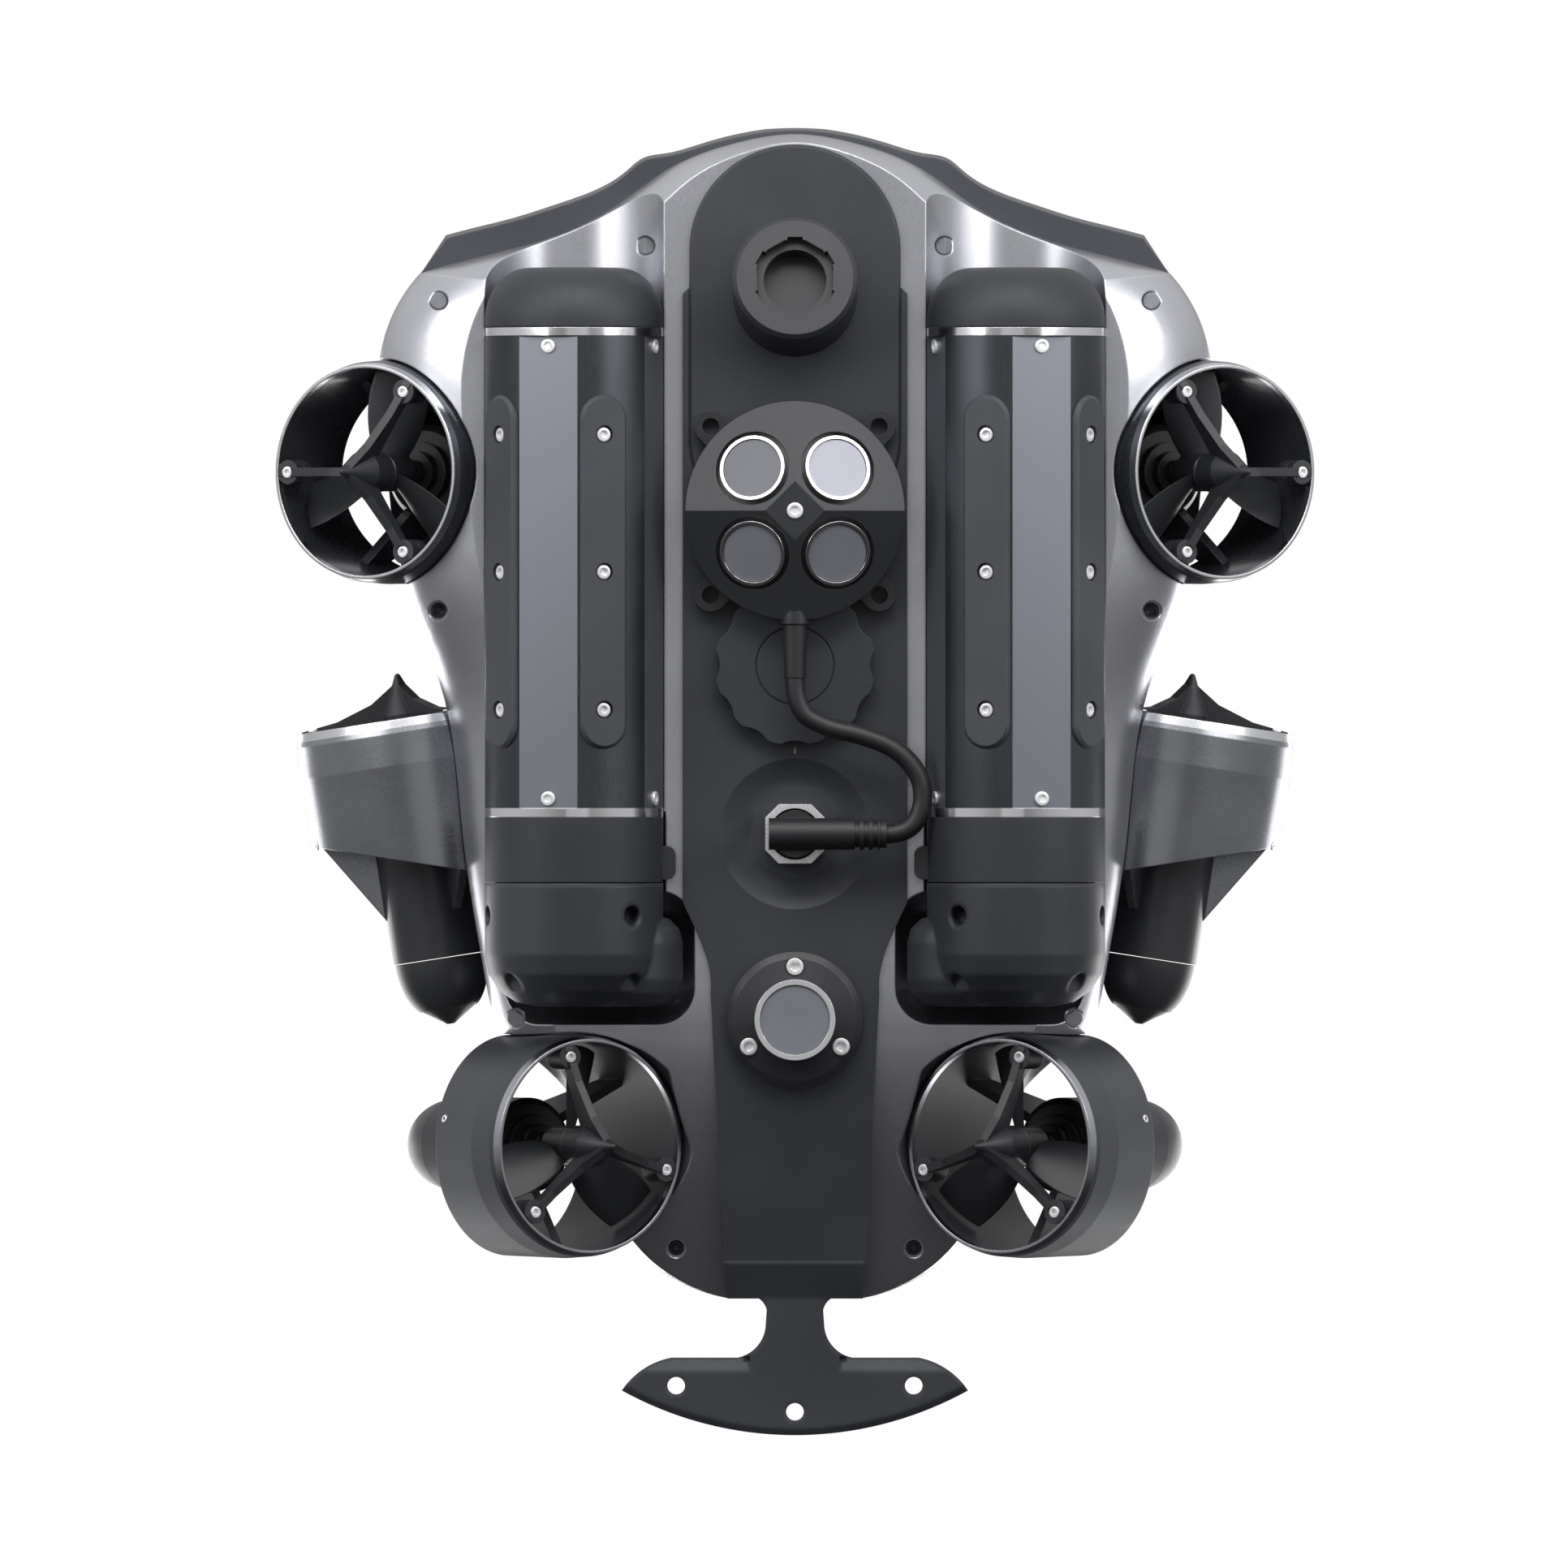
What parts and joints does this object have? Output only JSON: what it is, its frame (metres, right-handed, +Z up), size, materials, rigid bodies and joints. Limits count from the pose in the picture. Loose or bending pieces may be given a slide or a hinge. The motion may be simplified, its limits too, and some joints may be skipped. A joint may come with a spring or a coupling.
{
  "type": "underwater inspection rov",
  "caption": "Underwater inspection vehicle: smooth hull ringed by ducted guarded thrusters, slide-in battery tubes as skids, belly velocity log, sonar, accessory socket and a T-shaped tail fin.",
  "frame": {"origin": "on the ground under the middle of the vehicle's bounding box, standing on its battery pads", "axes": "+Y towards the nose, +Z up, +X to the vehicle's right"},
  "size_m": [0.3422, 0.4307, 0.17],
  "materials": {
    "shell_metallic": "satin gunmetal metallic coat",
    "hood_plastic": "dark satin",
    "visor_plastic": "dark semi-gloss",
    "lens_glass": "clear polished",
    "dark_anodised": "dark anodised",
    "keel_plastic": "fine matte texture",
    "plate_plastic": "fine matte texture",
    "socket_plastic": "matte",
    "grey_plug": "matte",
    "black_screw": "black oxide",
    "instrument_plastic": "matte",
    "bright_ring": "polished",
    "transducer_face": "smooth",
    "steel_screw": "bright stainless",
    "lead_rubber": "smooth rubber",
    "nut_steel": "polished",
    "knob_plastic": "matte",
    "sonar_face": "smooth",
    "tube_anodised": "dark satin anodised",
    "cap_plastic": "fine matte texture",
    "pad_rubber": "matte rubber",
    "black_plastic": "matte",
    "duct_plastic": "satin with a bright rim"
  },
  "bodies": {
    "hull": {"battery_dock_left": "keel_plastic", "battery_dock_right": "keel_plastic", "camera_lens": "lens_glass", "connector_nut": "nut_steel", "dvl_body": "instrument_plastic", "dvl_centre_screw": "steel_screw", "dvl_lead": "lead_rubber", "dvl_plug": "lead_rubber", "dvl_strain_relief": "lead_rubber", "dvl_transducer_faces": "transducer_face", "dvl_transducer_rings": "bright_ring", "front_duct_left": "duct_plastic", "front_duct_right": "duct_plastic", "front_guard_left": "black_plastic", "front_guard_right": "black_plastic", "guard_screws": "steel_screw", "headlight_lenses": "lens_glass", "keel_cover": "keel_plastic", "lower_shell": "shell_metallic", "middle_duct_left": "duct_plastic", "middle_duct_right": "duct_plastic", "middle_guard_left": "black_plastic", "middle_guard_right": "black_plastic", "nose_visor": "visor_plastic", "payload_plate": "plate_plastic", "payload_socket": "socket_plastic", "pod_caps": "black_plastic", "rear_duct_left": "duct_plastic", "rear_duct_right": "duct_plastic", "rear_guard_left": "black_plastic", "rear_guard_right": "black_plastic", "shell_plugs": "grey_plug", "shell_screws": "black_screw", "sonar_base": "instrument_plastic", "sonar_face": "sonar_face", "sonar_screws": "steel_screw", "tail_fin": "keel_plastic", "tether_socket": "dark_anodised", "upper_shell": "hood_plastic"},
    "battery_right": {"battery_tube_right": "tube_anodised", "battery_cap_right": "cap_plastic", "battery_collar_right": "cap_plastic", "battery_pads_right": "pad_rubber", "battery_screws_right": "steel_screw"},
    "latch_right": {"battery_latch_right": "black_plastic"},
    "battery_left": {"battery_tube_left": "tube_anodised", "battery_cap_left": "cap_plastic", "battery_collar_left": "cap_plastic", "battery_pads_left": "pad_rubber", "battery_screws_left": "steel_screw"},
    "latch_left": {"battery_latch_left": "black_plastic"},
    "knob": {"lock_knob": "knob_plastic"},
    "front_prop_right": {"front_propeller_right": "black_plastic"},
    "front_prop_left": {"front_propeller_left": "black_plastic"},
    "middle_prop_right": {"middle_propeller_right": "black_plastic"},
    "middle_prop_left": {"middle_propeller_left": "black_plastic"},
    "rear_prop_right": {"rear_propeller_right": "black_plastic"},
    "rear_prop_left": {"rear_propeller_left": "black_plastic"}
  },
  "joints": [
    {"name": "front_spin_right", "type": "hinge", "parent": "hull", "child": "front_prop_right", "pos_m": [0.13387, 0.1016, 0.06174], "axis": [0.5446, 0, -0.8387], "continuous": true},
    {"name": "front_spin_left", "type": "hinge", "parent": "hull", "child": "front_prop_left", "pos_m": [-0.13387, 0.1016, 0.06174], "axis": [-0.5446, 0, -0.8387], "continuous": true},
    {"name": "middle_spin_right", "type": "hinge", "parent": "hull", "child": "middle_prop_right", "pos_m": [0.12696, 0.00677, 0.1], "axis": [0.153, 0.9882, 0], "continuous": true},
    {"name": "middle_spin_left", "type": "hinge", "parent": "hull", "child": "middle_prop_left", "pos_m": [-0.12696, 0.00677, 0.1], "axis": [-0.153, 0.9882, 0], "continuous": true},
    {"name": "rear_spin_right", "type": "hinge", "parent": "hull", "child": "rear_prop_right", "pos_m": [0.07474, -0.1201, 0.04059], "axis": [-0.5388, 0, -0.8425], "continuous": true},
    {"name": "rear_spin_left", "type": "hinge", "parent": "hull", "child": "rear_prop_left", "pos_m": [-0.07474, -0.1201, 0.04059], "axis": [0.5388, 0, -0.8425], "continuous": true},
    {"name": "battery_slide_right", "type": "slide", "parent": "hull", "child": "battery_right", "axis": [0, 1, 0], "range_m": [0, 0.046]},
    {"name": "latch_press_right", "type": "slide", "parent": "battery_right", "child": "latch_right", "axis": [1, 0, 0], "range_m": [0, 0.002], "stiffness_N_per_m": 600},
    {"name": "battery_slide_left", "type": "slide", "parent": "hull", "child": "battery_left", "axis": [0, 1, 0], "range_m": [0, 0.046]},
    {"name": "latch_press_left", "type": "slide", "parent": "battery_left", "child": "latch_left", "axis": [-1, 0, 0], "range_m": [0, 0.002], "stiffness_N_per_m": 600},
    {"name": "knob_turn", "type": "hinge", "parent": "hull", "child": "knob", "pos_m": [0, 0.0378, 0.033], "axis": [0, 0, 1], "range_deg": [0, 60]}
  ]
}
